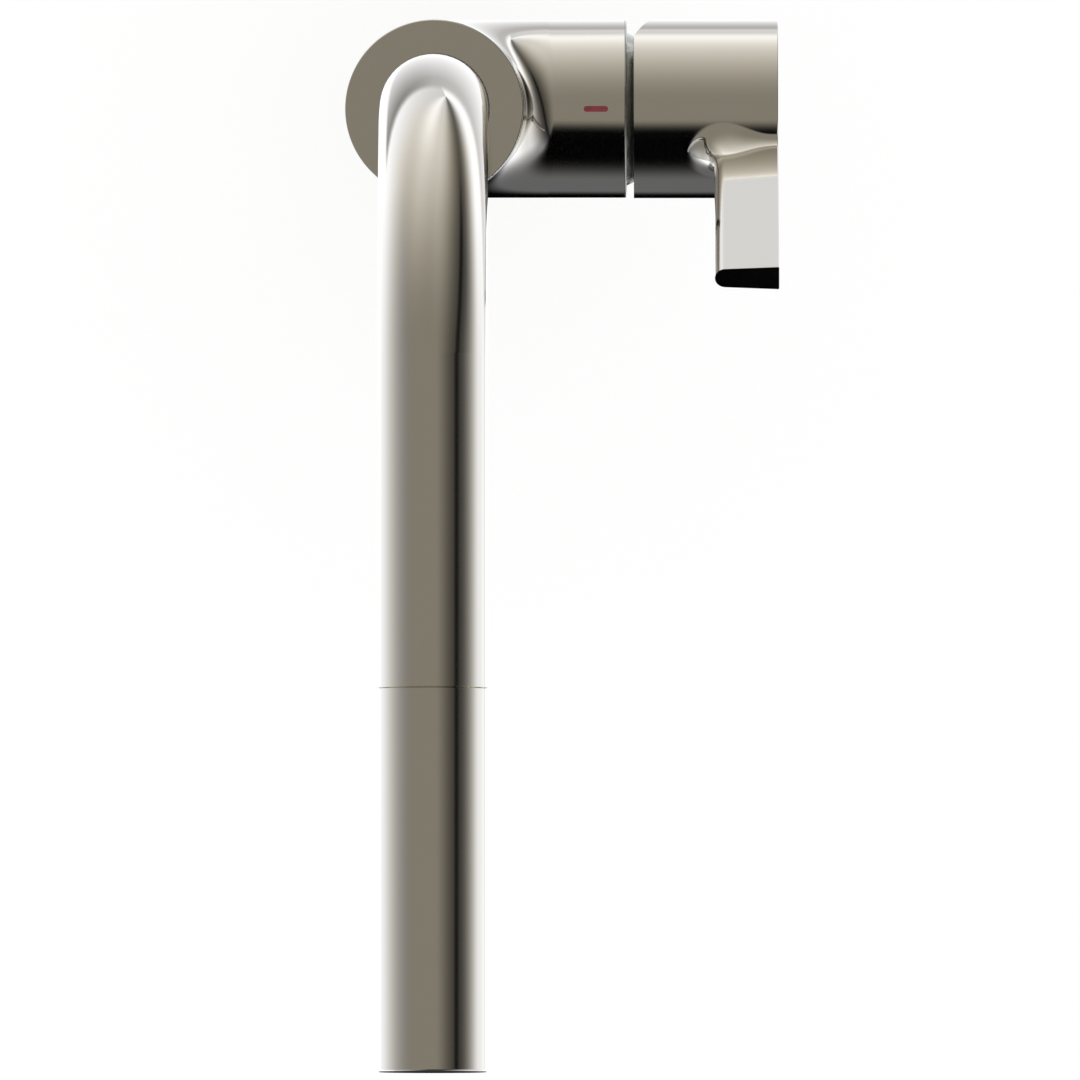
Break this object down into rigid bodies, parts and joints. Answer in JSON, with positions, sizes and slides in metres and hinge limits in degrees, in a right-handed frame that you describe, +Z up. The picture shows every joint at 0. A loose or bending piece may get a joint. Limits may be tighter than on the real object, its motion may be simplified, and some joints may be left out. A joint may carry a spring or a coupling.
{
  "type": "pull-out sink faucet",
  "caption": "Single-hole sink faucet with an L-shaped swivel spout, a pull-out spray head on a hose and a side lever over a ceramic cartridge, in polished nickel",
  "frame": {"origin": "centre of the foot ring's underside, on the deck and on the spout's swivel axis", "axes": "+Z up; the spout reaches towards -Y, which is the user's side; the valve branch and its lever point along +X"},
  "size_m": [0.1116, 0.2688, 0.3633],
  "materials": {
    "polished_nickel": "polished nickel plate, warm grey",
    "raw_brass": "turned brass, unplated",
    "steel": "zinc-plated or stainless steel",
    "black_rubber": "matt moulded rubber",
    "white_plastic": "white acetal",
    "grey_plastic": "grey moulded plastic",
    "black_plastic": "black glass-filled plastic",
    "ceramic": "lapped alumina",
    "hose_braid": "braided sleeve over a rubber hose",
    "red_mark": "red inlay",
    "blue_mark": "blue inlay"
  },
  "bodies": {
    "fixed_body": {"foot_ring": "polished_nickel", "foot_gasket": "black_rubber", "body_casting": "polished_nickel", "hot_mark": "red_mark", "cold_mark": "blue_mark", "top_ring": "polished_nickel", "upper_glide_ring": "white_plastic", "thrust_washer": "white_plastic", "lower_glide_ring": "white_plastic", "mounting_shank": "raw_brass", "deck_washer": "black_rubber", "clamp_washer": "steel", "mounting_nut": "raw_brass", "cartridge_base": "black_plastic", "cartridge_seals": "black_rubber", "fixed_ceramic_disc": "ceramic", "cartridge_housing": "grey_plastic", "cartridge_nut": "raw_brass", "neck_dome": "polished_nickel"},
    "spout": {"spout_tube": "polished_nickel", "swivel_sleeve": "raw_brass", "spout_oring": "black_rubber", "hose_guide": "white_plastic", "spray_hose": "hose_braid", "hose_tail": "raw_brass", "dock_socket": "grey_plastic"},
    "spray_head": {"hose_seal": "black_rubber", "hose_ferrule": "steel", "hose_nut": "raw_brass", "head_inlet": "raw_brass", "dock_oring": "black_rubber", "check_valve_body": "white_plastic", "check_valve_spring": "steel", "head_shell": "polished_nickel", "head_end_cap": "polished_nickel", "waterway": "grey_plastic", "aerator_seal": "black_rubber", "aerator_housing": "polished_nickel", "aerator_insert": "grey_plastic"},
    "valve_poppet": {"check_valve_poppet": "black_plastic"},
    "valve_rotor": {"cartridge_rotor": "white_plastic", "pivot_pin": "steel"},
    "ceramic_slide": {"moving_ceramic_disc": "ceramic", "disc_slider": "grey_plastic"},
    "handle": {"lever_handle": "polished_nickel", "cartridge_stem": "steel", "grub_screw": "steel", "screw_plug": "polished_nickel"}
  },
  "joints": [
    {"name": "spout_swivel", "type": "hinge", "parent": "fixed_body", "child": "spout", "pos_m": [0, 0, 0.107], "axis": [0, 0, 1], "continuous": true},
    {"name": "spray_pull_out", "type": "slide", "parent": "spout", "child": "spray_head", "axis": [0, -0.9994, 0.0349], "range_m": [0, 0.45], "deforming": ["spray_hose"]},
    {"name": "check_valve_lift", "type": "slide", "parent": "spray_head", "child": "valve_poppet", "axis": [0, -0.9994, 0.0349], "range_m": [0, 0.0015], "stiffness_N_per_m": 40, "springref_m": -0.002, "deforming": ["check_valve_spring"]},
    {"name": "temperature", "type": "hinge", "parent": "fixed_body", "child": "valve_rotor", "pos_m": [0.05, 0, 0.07], "axis": [1, 0, 0], "range_deg": [-35, 65]},
    {"name": "flow_tilt", "type": "hinge", "parent": "valve_rotor", "child": "handle", "pos_m": [0.05, 0, 0.07], "axis": [0, 0.866, 0.5], "range_deg": [0, 25]},
    {"name": "ceramic_disc_slide", "type": "slide", "parent": "valve_rotor", "child": "ceramic_slide", "axis": [0, -0.5, 0.866], "range_m": [0, 0.00525]}
  ],
  "couplings": [
    {"joint": "ceramic_disc_slide", "follows": "flow_tilt", "m_per_rad": 0.012}
  ]
}
